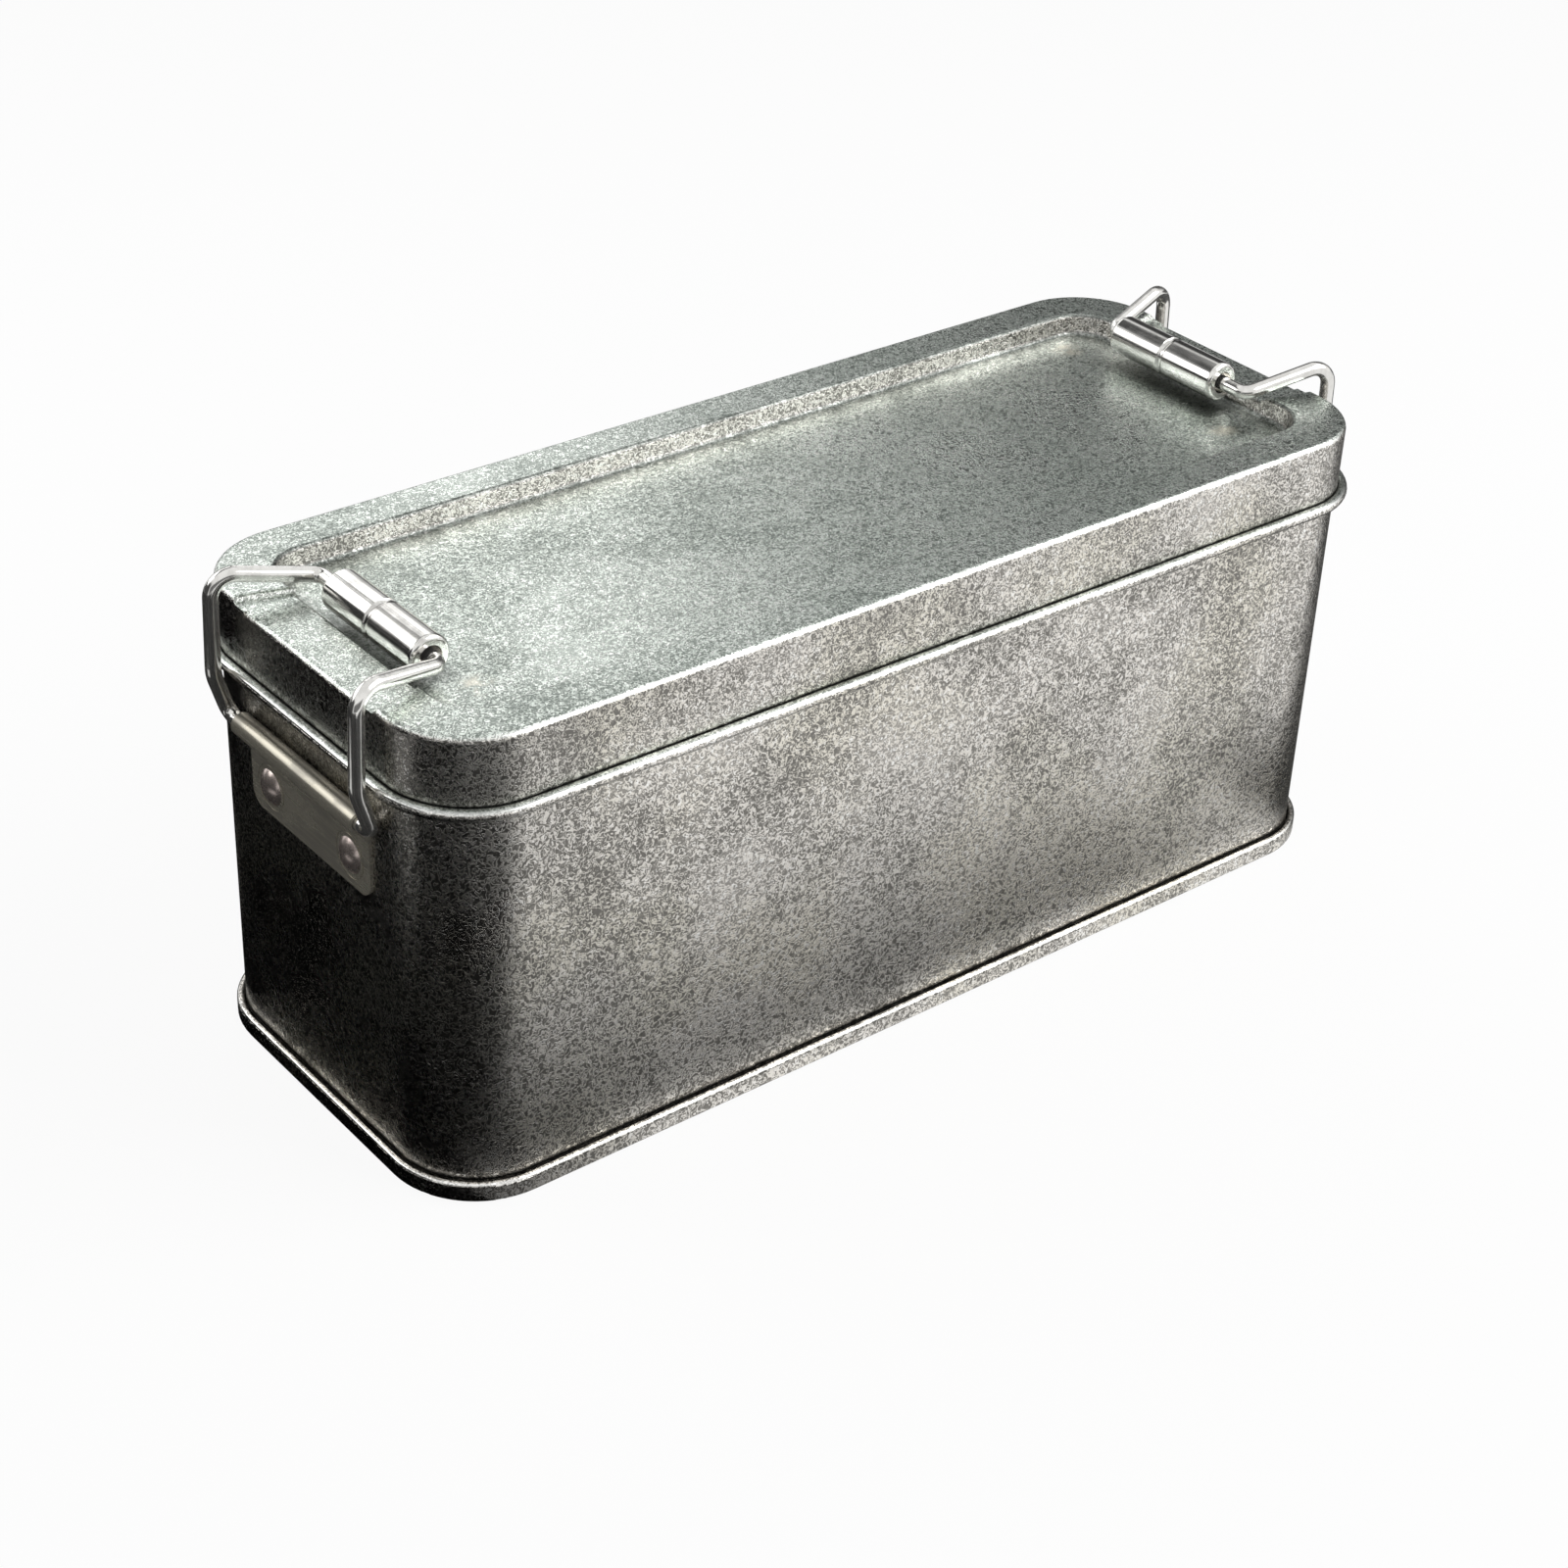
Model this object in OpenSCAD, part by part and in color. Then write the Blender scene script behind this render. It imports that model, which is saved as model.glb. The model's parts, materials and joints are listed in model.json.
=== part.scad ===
/* [Tin body] */
// Length of the tin's body
body_length = 190; // [160:1:220]
// Width of the tin's body
body_width = 72; // [70:1:100]
// Height from the table to the lid's rim
tin_height = 82.5; // [70:0.5:110]
// Radius of the body's upright corners
corner_radius = 14.2; // [11:0.1:15]
// Thickness of the tinplate
sheet = 0.3; // [0.25:0.05:0.35]
// Diameter of the curl that hides the wall's upper edge
wall_curl_d = 1.6; // [1.4:0.1:2]
// Width of the lock seam up the back of the wall
side_seam_w = 4.5; // [3.5:0.5:6]

/* [Base] */
// Height of the double seam round the foot
seam_height = 3.5; // [3.2:0.1:4.5]
// Gap between the folded layers of the double seam
seam_gap = 0.2; // [0.15:0.05:0.25]
// Height of the base panel above the table
base_recess = 3.2; // [2.5:0.1:5]

/* [Lid] */
// Depth of the lid from its rim to the foot of its bead
lid_depth = 13.3; // [12:0.1:16]
// Gap between the lid's skirt and the wall
lid_gap = 0.15; // [0.15:0.05:0.25]
// Diameter of the bead curled from the lid's edge
lid_curl_d = 2; // [1.7:0.1:2.3]
// Rounding of the lid's outer top edge
lid_edge_r = 1; // [0.7:0.1:1]
// Width of the raised rim along the long sides
rim_long = 7.1; // [6:0.1:9]
// Width of the raised rim along the short sides
rim_short = 7.8; // [7.4:0.1:8.4]
// Depth of the sunken panel below the rim
recess_depth = 3.5; // [3:0.1:4]
// Radius of the sunken panel's corners
recess_corner_r = 8; // [6:0.5:8]
// Depth of the pressed dip where a clamp crosses the rim
dip_depth = 1; // [0.8:0.1:1.2]
// How far that dip runs past the roller, wherever it has slid to
dip_margin = 4.5; // [4:0.1:5]

/* [Clamp wire] */
// Diameter of the clamp wire
wire_d = 2.5; // [2.3:0.1:2.6]
// Gap between an upright leg and the lid's bead
leg_clearance = 0.8; // [0.7:0.1:1.2]
// Gap between the wire's top corner and the level of the rim
arm_clearance = 3.45; // [3.2:0.05:4.2]
// Running clearance round the wire in its knuckle and roller
wire_play = 0.07; // [0.05:0.01:0.09]

/* [Roller] */
// Diameter of a roller
roller_d = 7; // [6.2:0.1:7.4]
// Length of a roller
roller_length = 25; // [22:0.5:26]
// How far a roller can slide along its wire, from one end to the other
roller_slide = 3; // [2:0.5:4]
// Gap between a roller and the wall of the sunken panel
roller_lip_gap = 1.5; // [1.3:0.1:2]
// Gap between a roller and the dip as it swings out over it
roller_swing_gap = 1.1; // [1:0.1:1.3]
// Width of the ring groove round a roller's middle
groove_w = 1.5; // [1:0.1:2]
// Diameter of the open mouth at each end of a roller
roller_mouth_d = 3.9; // [3.6:0.1:4.3]

/* [Hinge plate] */
// Width of a hinge plate
plate_width = 34; // [32:0.5:36]
// Thickness of the hinge plate
plate_t = 0.55; // [0.45:0.05:0.6]
// Distance from the lid's bead down to the knuckle's axis
knuckle_below_bead = 6.7; // [6:0.1:8]
// Distance from the knuckle's axis down to the rivets
rivet_drop = 9.1; // [8.5:0.1:11]
// Distance from the rivets down to the foot of the plate
plate_foot_margin = 5.2; // [4.5:0.1:7]
// Distance from a rivet to the end of the plate
rivet_inset = 5.6; // [4.5:0.1:7]
// Diameter of a rivet's shank
rivet_d = 2.5; // [2.2:0.1:2.8]
// Diameter of a rivet's domed head
rivet_head_d = 6; // [5:0.1:6.4]

/* [Hidden] */
$fn = 96;

// Wall: its two ends, and the centres of its corners
body_end = body_length / 2;
body_side = body_width / 2;
corner_x = body_end - corner_radius;
corner_y = body_side - corner_radius;

// Double seam, from the wall outwards: cover hook, wall hook, outer layer
layer = sheet + seam_gap;
turn_r = layer;
wall_turn_u = turn_r - sheet / 2;
wall_turn_z = layer + turn_r + sheet / 2;
seam_out = 2 * layer + seam_gap + sheet;
cover_turn_u = seam_out - sheet / 2 - turn_r;
cover_turn_z = seam_height - sheet / 2 - turn_r;
hook_overlap_top = cover_turn_z - seam_gap;
hook_overlap_foot = wall_turn_z + seam_gap;
foot_r = 0.45;
panel_r = 0.85;

// Lid: places of its bead, rim, dip and sunken panel
lid_out = lid_gap + sheet;
bead_r = (lid_curl_d - sheet) / 2;
bead_u = lid_gap + sheet / 2 + bead_r;
bead_z = tin_height - lid_depth + lid_curl_d / 2;
bead_out = bead_u + lid_curl_d / 2;
bead_curl_end = 485;
recess_x = body_end - rim_short;
recess_y = body_side - rim_long;
recess_foot_r = 1;
recess_lip_r = 0.8;
recess_draft = 12;
dip_foot_r = 1.2;
dip_lip_r = 1;
dip_draft = 40;
dip_slant = 15;
dip_half = (roller_length + roller_slide) / 2 + dip_margin;
dip_flat = dip_half - press_run(dip_depth, dip_foot_r, dip_lip_r, dip_draft);

// The wall's top stands just under the lid's dips
lid_seat_gap = 0.2;
wall_top = tin_height - dip_depth - sheet - lid_seat_gap;
wall_curl_r = (wall_curl_d - sheet) / 2;
wall_curl_z = wall_top - wall_curl_d / 2;
wall_curl_end = 300;
side_seam_t = 0.45;
side_seam_score = 0.12;
side_seam_foot_gap = 1;
side_seam_top_gap = 1.6;

// Clamp: its knuckle and its wire
wire_r = wire_d / 2;
knuckle_bore_r = wire_r + wire_play;
knuckle_r = knuckle_bore_r + plate_t;
pivot_x = body_end + knuckle_r;
pivot_z = tin_height - lid_depth - knuckle_below_bead;
knuckle_slit = [205, 232];
knuckle_end_gap = 1.3;
wire_bends = [2.2, 8, 3.5, 2];
wire_end_y = 6;
leg_y = plate_width / 2 + knuckle_end_gap + wire_bends[0];
leg_x = body_end + bead_out + leg_clearance + wire_r;
leg_top_lean = 0.6;
arm_z = tin_height + arm_clearance + wire_r;
wire_meet_step = 0.004;
wire_meet_lap = 0.05;

// Roller: it hangs just clear of the dip's inner edge, and swings out over it
roller_r = roller_d / 2;
roller_bore_r = wire_r + wire_play;
roller_mouth_depth = 3;
roller_edge_r = 0.8;
groove_depth = 0.35;
roller_x = recess_x - roller_lip_gap - roller_r;
dip_edge_reach = norm([pivot_x - recess_x, tin_height - dip_depth - pivot_z]);
roller_reach = dip_edge_reach + roller_swing_gap + roller_r;
roller_z = pivot_z + sqrt(pow(roller_reach, 2) - pow(pivot_x - roller_x, 2));
arm_end_gap = 2.5;
arm_end_y = (roller_length + roller_slide) / 2 + arm_end_gap;
wire_corners = [
    [pivot_x, wire_end_y, pivot_z],
    [pivot_x, leg_y, pivot_z],
    [leg_x, leg_y, bead_z],
    [leg_x - leg_top_lean, leg_y, arm_z],
    [roller_x, arm_end_y, roller_z]
];

// Hinge plate and rivets
leaf_top_lap = 0.4;
leaf_corner_r = 2.75;
rivet_play = 0.05;
rivet_y = plate_width / 2 - rivet_inset;
rivet_z = pivot_z - rivet_drop;
plate_drop = rivet_drop + plate_foot_margin;
rivet_dome_h = 1.2;
rivet_tail_margin = 1.05;
rivet_tail_h = 0.8;
rivet_ring_margin = 0.9;
rivet_ring_w = 0.25;
rivet_ring_depth = 0.1;

// Sideways run of a pressed wall between its foot and its lip
function press_run(depth, foot, lip, draft) =
    (foot + lip + (depth - foot - lip) * sin(draft)) / cos(draft);

// Direction of a vector, and the turn of a wire at a corner
function unit(v) = v / norm(v);
function turn_at(a, p, b) = acos(unit(p - a) * unit(b - p));

// A list of points with y reversed, last point first
function mirrored_back(points) = [
    for (i = [len(points) - 1 : -1 : 0]) [points[i].x, -points[i].y, points[i].z]
];

// Sweeps a profile round a rectangle with round corners. The profile's x is its
// distance from the corners' centres, which lie at (+-centre_x, +-centre_y)
module around(centre_x, centre_y) {
    for (k = [0 : 3]) {
        across = k % 2 == 0 ? centre_x : centre_y;
        along = k % 2 == 0 ? centre_y : centre_x;
        rotate([0, 0, 90 * k]) {
            translate([across, along, 0])
                rotate_extrude(angle = 90)
                    children();
            translate([across, 0, 0])
                rotate([90, 0, 0])
                    linear_extrude(height = 2 * along, center = true)
                        children();
        }
    }
}

// A wedge between two directions, for cutting round shapes open
module wedge(from, to, reach) {
    steps = 6;
    rim = [for (k = [0 : steps]) from + (to - from) * k / steps];
    polygon(concat([[0, 0]], [for (a = rim) reach * [cos(a), sin(a)]]));
}

// Section of a sheet bent along an arc of the given middle radius
module bent_strip(middle_r, from, to) {
    difference() {
        circle(r = middle_r + sheet / 2);
        circle(r = middle_r - sheet / 2);
        wedge(to, from + 360, 4 * middle_r);
    }
}

// Section of the space over a pressed step, from one x to the step's lip, which
// starts at another x on the level y = 0. inset is the distance of this face
// under the sheet's top face
module press_section(depth, foot, lip, draft, inset, from_x, lip_x) {
    clear_above = 5;
    foot_c = [lip_x - press_run(depth, foot, lip, draft), foot - depth];
    lip_c = [lip_x, -lip];
    normal = [cos(draft), -sin(draft)];
    difference() {
        union() {
            polygon([
                [from_x, clear_above],
                [from_x, -depth - inset],
                [foot_c.x, -depth - inset],
                foot_c + (foot + inset) * normal,
                lip_c - (lip - inset) * normal,
                [lip_x, -inset],
                [lip_x, clear_above]
            ]);
            translate(foot_c)
                circle(r = foot + inset);
        }
        translate(lip_c)
            circle(r = lip - inset);
    }
}

// A column with a rounded top edge, from a level upwards to the lid's top;
// inset is the distance inside the lid's outer face
module lid_column(bottom, inset) {
    out = corner_radius + lid_out - inset;
    top = tin_height - inset;
    edge = lid_edge_r - inset;
    around(corner_x, corner_y) {
        polygon([
            [0, bottom], [out, bottom], [out, top - edge], [out - edge, top], [0, top]
        ]);
        translate([out - edge, top - edge])
            circle(r = edge);
    }
    translate([-corner_x, -corner_y, bottom])
        cube([2 * corner_x, 2 * corner_y, top - bottom]);
}

// The sunken panel's space
module recess_space(inset) {
    centre_x = recess_x - recess_corner_r;
    centre_y = recess_y - recess_corner_r;
    translate([0, 0, tin_height]) {
        around(centre_x, centre_y)
            press_section(recess_depth, recess_foot_r, recess_lip_r, recess_draft,
                inset, 0, recess_corner_r);
        translate([-centre_x, -centre_y, -recess_depth - inset])
            cube([2 * centre_x, 2 * centre_y, 2 * recess_depth + inset]);
    }
}

// The space of the dip in the rim at the +X end, with both its edges eased
module dip_space(inset) {
    run_in = 12;
    run_out = 24;
    past_middle = -1.5 * dip_half;
    lip_x = recess_x - dip_depth * tan(recess_draft);
    for (side = [0, 1])
        mirror([0, side, 0])
            translate([recess_x, dip_half, tin_height])
                rotate([0, 0, dip_slant])
                    translate([-run_in, 0, 0])
                        rotate([90, 0, 90])
                            linear_extrude(height = run_in + run_out)
                                press_section(dip_depth, dip_foot_r, dip_lip_r,
                                    dip_draft, inset, past_middle, 0);
    translate([0, 0, tin_height - dip_depth])
        rotate([90, 0, 0])
            linear_extrude(height = 2 * dip_flat, center = true)
                press_section(recess_depth - dip_depth, recess_foot_r, recess_lip_r,
                    recess_draft, inset, lip_x - recess_corner_r, lip_x);
    translate([body_end + lid_out - lid_edge_r, 0, tin_height - dip_depth - lid_edge_r])
        rotate([90, 0, 0])
            linear_extrude(height = 2 * dip_flat, center = true)
                difference() {
                    square(2 * lid_edge_r);
                    circle(r = lid_edge_r - inset);
                }
}

// The lid's outer face as a solid, or the face under its sheet
module lid_form(bottom, inset) {
    difference() {
        lid_column(bottom, inset);
        recess_space(inset);
        dip_space(inset);
        mirror([1, 0, 0])
            dip_space(inset);
    }
}

// A straight run of round wire. It is a hair thinner than the bends at its ends
// and reaches a little way into them, so that run and bend meet cleanly
module wire_run(from, to) {
    way = to - from;
    length = norm(way);
    translate(from)
        rotate([0, acos(way.z / length), atan2(way.y, way.x)])
            cylinder(r = wire_r - wire_meet_step, h = length);
}

// A bend of round wire at corner p, on the way from a to b
module wire_bend(a, p, b, bend_r) {
    way = unit(p - a);
    turn = turn_at(a, p, b);
    axis = unit(cross(way, unit(b - p)));
    inward = cross(axis, way);
    polar = acos(axis.z);
    azimuth = atan2(axis.y, axis.x);
    side_x = [cos(azimuth) * cos(polar), sin(azimuth) * cos(polar), -sin(polar)];
    side_y = [-sin(azimuth), cos(azimuth), 0];
    spin = atan2(-inward * side_y, -inward * side_x);
    translate(p - way * bend_r * tan(turn / 2) + inward * bend_r)
        rotate([0, polar, azimuth])
            rotate([0, 0, spin])
                rotate_extrude(angle = turn)
                    translate([bend_r, 0])
                        circle(r = wire_r);
}

// A wire along a list of corners, each rounded by its own bend radius
module bent_wire(corners, bends) {
    last = len(corners) - 1;
    cuts = [for (i = [0 : last])
        i == 0 || i == last ? 0 :
        bends[i - 1] * tan(turn_at(corners[i - 1], corners[i], corners[i + 1]) / 2)
            - wire_meet_lap];
    for (i = [0 : last - 1]) {
        way = unit(corners[i + 1] - corners[i]);
        wire_run(corners[i] + way * cuts[i], corners[i + 1] - way * cuts[i + 1]);
    }
    for (i = [1 : last - 1])
        wire_bend(corners[i - 1], corners[i], corners[i + 1], bends[i - 1]);
}

// Wall: one strip of tinplate bent into a ring, curled in at the top and
// hooked outwards at the foot, where the base's edge is folded round it
module body_wall() {
    color("darkgray")
        difference() {
            union() {
                around(corner_x, corner_y)
                    translate([corner_radius, 0]) {
                        translate([-sheet, wall_turn_z])
                            square([sheet, wall_curl_z - wall_turn_z]);
                        translate([-sheet / 2 - wall_curl_r, wall_curl_z])
                            bent_strip(wall_curl_r, 0, wall_curl_end);
                        translate([wall_turn_u, wall_turn_z])
                            bent_strip(turn_r, 180, 360);
                        translate([wall_turn_u + turn_r - sheet / 2, wall_turn_z])
                            square([sheet, hook_overlap_top - wall_turn_z]);
                    }
                side_seam_strip();
            }
            rivet_places()
                wall_hole();
            translate([side_seam_w / 2, body_side - side_seam_score, seam_height])
                cube([side_seam_score * 2, sheet, wall_top]);
        }
}

// The lock seam's folded layers, flat against the inside of the back
module side_seam_strip() {
    foot = seam_height + side_seam_foot_gap;
    top = wall_top - wall_curl_d - side_seam_top_gap;
    translate([-side_seam_w / 2, body_side - sheet - side_seam_t, foot])
        cube([side_seam_w, side_seam_t + sheet / 2, top - foot]);
}

// Base: a sunken panel whose edge goes down, out, up and over the wall's hook
module base_plate() {
    inner_u = -sheet - seam_gap - sheet / 2;
    bottom_z = foot_r + sheet / 2;
    panel_z = base_recess + sheet / 2 - panel_r;
    color("gray") {
        around(corner_x, corner_y) {
            translate([0, base_recess])
                square([corner_radius + inner_u - panel_r, sheet]);
            translate([corner_radius, 0]) {
                translate([inner_u - panel_r, panel_z])
                    bent_strip(panel_r, 0, 90);
                translate([inner_u - sheet / 2, bottom_z])
                    square([sheet, panel_z - bottom_z]);
                translate([inner_u + foot_r, bottom_z])
                    bent_strip(foot_r, 180, 270);
                translate([inner_u + foot_r, 0])
                    square([seam_out - sheet / 2 - 2 * foot_r - inner_u, sheet]);
                translate([seam_out - sheet / 2 - foot_r, bottom_z])
                    bent_strip(foot_r, 270, 360);
                translate([seam_out - sheet, bottom_z])
                    square([sheet, cover_turn_z - bottom_z]);
                translate([cover_turn_u, cover_turn_z])
                    bent_strip(turn_r, 0, 180);
                translate([cover_turn_u - turn_r - sheet / 2, hook_overlap_foot])
                    square([sheet, cover_turn_z - hook_overlap_foot]);
            }
        }
        translate([-corner_x, -corner_y, base_recess])
            cube([2 * corner_x, 2 * corner_y, sheet]);
    }
}

// Lid: one pressing, with a beaded skirt, a raised rim and a sunken panel
module lid() {
    below = 1;
    color("silver") {
        difference() {
            lid_form(bead_z, 0);
            lid_form(bead_z - below, sheet);
        }
        around(corner_x, corner_y)
            translate([corner_radius + bead_u, bead_z])
                bent_strip(bead_r, 180, bead_curl_end);
    }
}

// Hinge plate at the +X end: a flat leaf under a knuckle rolled round the wire
module hinge_plate() {
    ring_r = rivet_head_d / 2 + rivet_ring_margin;
    color("dimgray")
        difference() {
            union() {
                translate([body_end, 0, pivot_z])
                    rotate([90, 0, 90])
                        linear_extrude(height = plate_t)
                            leaf_outline();
                translate([pivot_x, 0, pivot_z])
                    rotate([90, 0, 0])
                        linear_extrude(height = plate_width, center = true)
                            difference() {
                                circle(r = knuckle_r);
                                circle(r = knuckle_bore_r);
                                wedge(knuckle_slit[0], knuckle_slit[1], 2 * knuckle_r);
                            }
            }
            for (side = [-1, 1])
                translate([body_end, side * rivet_y, rivet_z])
                    rotate([0, 90, 0]) {
                        wall_hole();
                        translate([0, 0, plate_t - rivet_ring_depth])
                            difference() {
                                cylinder(r = ring_r, h = plate_t);
                                cylinder(r = ring_r - rivet_ring_w, h = plate_t);
                            }
                    }
        }
}

// Outline of the leaf: square at the knuckle, round at its lower corners
module leaf_outline() {
    half = plate_width / 2;
    translate([-half, leaf_corner_r - plate_drop])
        square([plate_width, plate_drop - leaf_corner_r - leaf_top_lap]);
    translate([leaf_corner_r - half, -plate_drop])
        square([plate_width - 2 * leaf_corner_r, leaf_corner_r]);
    for (side = [-1, 1])
        translate([side * (half - leaf_corner_r), leaf_corner_r - plate_drop])
            circle(r = leaf_corner_r);
}

// The hole for a rivet, through the wall and its plate
module wall_hole() {
    reach = 4;
    cylinder(r = rivet_d / 2 + rivet_play, h = 2 * reach, center = true);
}

// Puts its children at the rivets of both ends, pointing out of the wall
module rivet_places() {
    for (turn = [0, 180], side = [-1, 1])
        rotate([0, 0, turn])
            translate([body_end, side * rivet_y, rivet_z])
                rotate([0, 90, 0])
                    children();
}

// A rivet through the +X end: domed head outside, flattened tail inside
module rivet(side) {
    color("rosybrown")
        translate([body_end, side * rivet_y, rivet_z])
            rotate([0, 90, 0])
                rotate_extrude() {
                    translate([0, plate_t])
                        dome_section(rivet_head_d / 2, rivet_dome_h);
                    translate([0, -sheet])
                        square([rivet_d / 2, sheet + plate_t]);
                    translate([0, -sheet])
                        mirror([0, 1])
                            dome_section(rivet_d / 2 + rivet_tail_margin, rivet_tail_h);
                }
}

// Half section of a shallow dome that stands on y = 0
module dome_section(radius, height) {
    ball_r = (radius * radius + height * height) / (2 * height);
    intersection() {
        square([radius, height]);
        translate([0, height - ball_r])
            circle(r = ball_r);
    }
}

// Clamp wire at the +X end: its ends turn in the knuckle, its legs stand clear
// of the bead, and its arms cross the rim to the bar that carries the roller
module bail() {
    color("gainsboro")
        bent_wire(
            concat(wire_corners, mirrored_back(wire_corners)),
            concat(wire_bends, [for (i = [3 : -1 : 0]) wire_bends[i]])
        );
}

// Roller at the +X end: a thick tube, open at its ends, grooved in the middle, that
// has slid as far as it goes to the front or the back
module roller(way) {
    color("gainsboro")
        translate([roller_x, way * roller_slide / 2, roller_z])
            rotate([90, 0, 0])
                rotate_extrude()
                    roller_section();
}

// Half section of the roller, its length along y
module roller_section() {
    half = roller_length / 2;
    eased = half - roller_edge_r;
    groove_r = (groove_w * groove_w / 4 + groove_depth * groove_depth) / (2 * groove_depth);
    difference() {
        union() {
            translate([0, -eased])
                square([roller_r, 2 * eased]);
            translate([0, -half])
                square([roller_r - roller_edge_r, roller_length]);
            for (side = [-1, 1])
                translate([roller_r - roller_edge_r, side * eased])
                    circle(r = roller_edge_r);
        }
        translate([0, -roller_length])
            square([roller_bore_r, 2 * roller_length]);
        for (side = [-1, 1])
            translate([0, side * half - roller_mouth_depth])
                square([roller_mouth_d / 2, 2 * roller_mouth_depth]);
        translate([roller_r - groove_depth + groove_r, 0])
            circle(r = groove_r);
    }
}

body_wall();
base_plate();
lid();
mirror([1, 0, 0]) hinge_plate();  // left_hinge_plate
hinge_plate();  // right_hinge_plate
mirror([1, 0, 0]) bail();  // left_bail
bail();  // right_bail
mirror([1, 0, 0]) roller(-1);  // left_roller
roller(1);  // right_roller
mirror([1, 0, 0]) rivet(-1);  // left_front_rivet
mirror([1, 0, 0]) rivet(1);  // left_rear_rivet
rivet(-1);  // right_front_rivet
rivet(1);  // right_rear_rivet
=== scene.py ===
import functools
import json
import math

import bpy
from bpy.props import (
    FloatProperty,
    FloatVectorProperty,
    PointerProperty,
)
from bpy.types import Operator, Panel, PropertyGroup
from mathutils import Euler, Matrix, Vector

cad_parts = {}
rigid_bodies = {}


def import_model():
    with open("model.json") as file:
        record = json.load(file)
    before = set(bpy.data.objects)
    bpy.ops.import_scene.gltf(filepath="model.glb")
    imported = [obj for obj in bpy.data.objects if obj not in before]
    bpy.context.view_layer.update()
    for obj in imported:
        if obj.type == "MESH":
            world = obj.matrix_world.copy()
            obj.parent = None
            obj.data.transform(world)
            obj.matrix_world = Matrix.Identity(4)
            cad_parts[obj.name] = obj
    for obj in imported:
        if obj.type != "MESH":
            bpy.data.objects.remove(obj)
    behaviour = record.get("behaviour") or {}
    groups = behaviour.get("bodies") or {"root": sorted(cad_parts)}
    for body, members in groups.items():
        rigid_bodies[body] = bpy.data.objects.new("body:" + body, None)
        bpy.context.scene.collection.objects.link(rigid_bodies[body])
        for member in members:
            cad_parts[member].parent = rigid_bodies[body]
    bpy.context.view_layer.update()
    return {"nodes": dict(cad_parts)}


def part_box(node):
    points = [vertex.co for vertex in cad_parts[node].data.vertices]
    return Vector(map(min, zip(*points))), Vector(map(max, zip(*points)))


bl_info = {
    "name": "Clamp-lid tin",
    "version": (1, 0, 0),
    "blender": (4, 5, 0),
    "location": "View3D > Sidebar > Tin",
    "description": "Finishes and studio for a tinplate box with a wire clamp at each end",
    "category": "Object",
}

# The scene starts empty, whatever Blender opened with
for leftover in list(bpy.data.objects):
    bpy.data.objects.remove(leftover)

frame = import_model()

# All lengths are in metres, and levels are heights above the table

# Top of the double seam round the base
SEAM_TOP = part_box("base_plate")[1].z
# The lid's lowest point is the foot of its bead, and its crease lies above the bead's curl
BEAD_CURL = 0.0019
BEAD_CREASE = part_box("lid")[0].z + BEAD_CURL
# Top of the knuckles, and half their run along y
KNUCKLE_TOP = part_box("right_hinge_plate")[1].z
KNUCKLE_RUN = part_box("right_hinge_plate")[1].y
# Where a roller lies over the sunken panel: its inner side, and how far it reaches along y
ROLLER_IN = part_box("right_roller")[0].x
ROLLER_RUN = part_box("right_roller")[1].y
# Half length, half width and corner radius of the sunken panel, and a level in its wall
PANEL_LONG, PANEL_WIDE, PANEL_RADIUS = 0.0864, 0.0282, 0.0075
PANEL_WALL = 0.0800
# What the lamps look at, about half way up the tin
TIN_MIDDLE = (0.0, 0.0, 0.04)
# In millimetres, as Blender's cameras have it
SENSOR_WIDTH = 36.0


# ---------------------------------------------------------------- properties

def tint(name, text, colour):
    """A colour that the user can change."""
    return FloatVectorProperty(
        name=name, description=text, subtype="COLOR", size=3, min=0.0, max=1.0,
        default=colour,
    )


def share(name, text, value):
    """An amount from nothing to all."""
    return FloatProperty(
        name=name, description=text, subtype="FACTOR", min=0.0, max=1.0, default=value,
    )


def distance(name, text, value):
    """A length in metres."""
    return FloatProperty(
        name=name, description=text, subtype="DISTANCE", unit="LENGTH", min=0.0,
        default=value,
    )


def brightness(name, text, value):
    """The radiance of a lamp, where 1 is white."""
    return FloatProperty(name=name, description=text, min=0.0, default=value)


class TinplateFinish(PropertyGroup):
    """Colours and wear of the aged tinplate."""

    wall_pale: tint("Wall, pale", "Tinplate of the wall where it is clean", (0.80, 0.77, 0.72))
    wall_dull: tint(
        "Wall, dull", "Tinplate of the wall where it has dulled", (0.20, 0.192, 0.176))
    wall_warm: tint(
        "Wall, warm", "Tinplate of the wall where it has yellowed", (0.80, 0.765, 0.675))
    lid_pale: tint("Lid, pale", "Tinplate of the lid where it is clean", (0.80, 0.86, 0.80))
    lid_dull: tint("Lid, dull", "Tinplate of the lid where it has dulled", (0.23, 0.26, 0.235))
    bright: tint("Bright metal", "Flecks, and edges rubbed bright and highlit", (0.92, 0.92, 0.90))
    # Colour of the painted shade, which darkens creases, inward turns, the panel under the
    # rollers and the foot of the sunken panel's wall
    shade: tint("Painted shade", "Painted shade in creases and inward turns, under the rollers and along the panel's foot", (0.035, 0.035, 0.033))
    stain: tint("Stain", "Pale smears near the ends of the rollers", (0.80, 0.78, 0.68))
    fleck_size: distance("Fleck size", "Length of one curly fleck", 0.0009)
    cloud_size: distance("Cloud size", "Width of a dull or bright patch", 0.011)
    flecks: share("Flecks", "How strongly the flecks show", 0.85)
    clouds: share("Clouds", "How strongly the patches show", 0.68)
    # The rub wears outward edges bright and also paints a highlight along them
    rub_and_highlight: share("Rubbed edges", "How bright the edges are worn and highlit", 0.60)
    roughness: share("Roughness", "How dull the tinplate's reflections are", 0.28)


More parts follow.
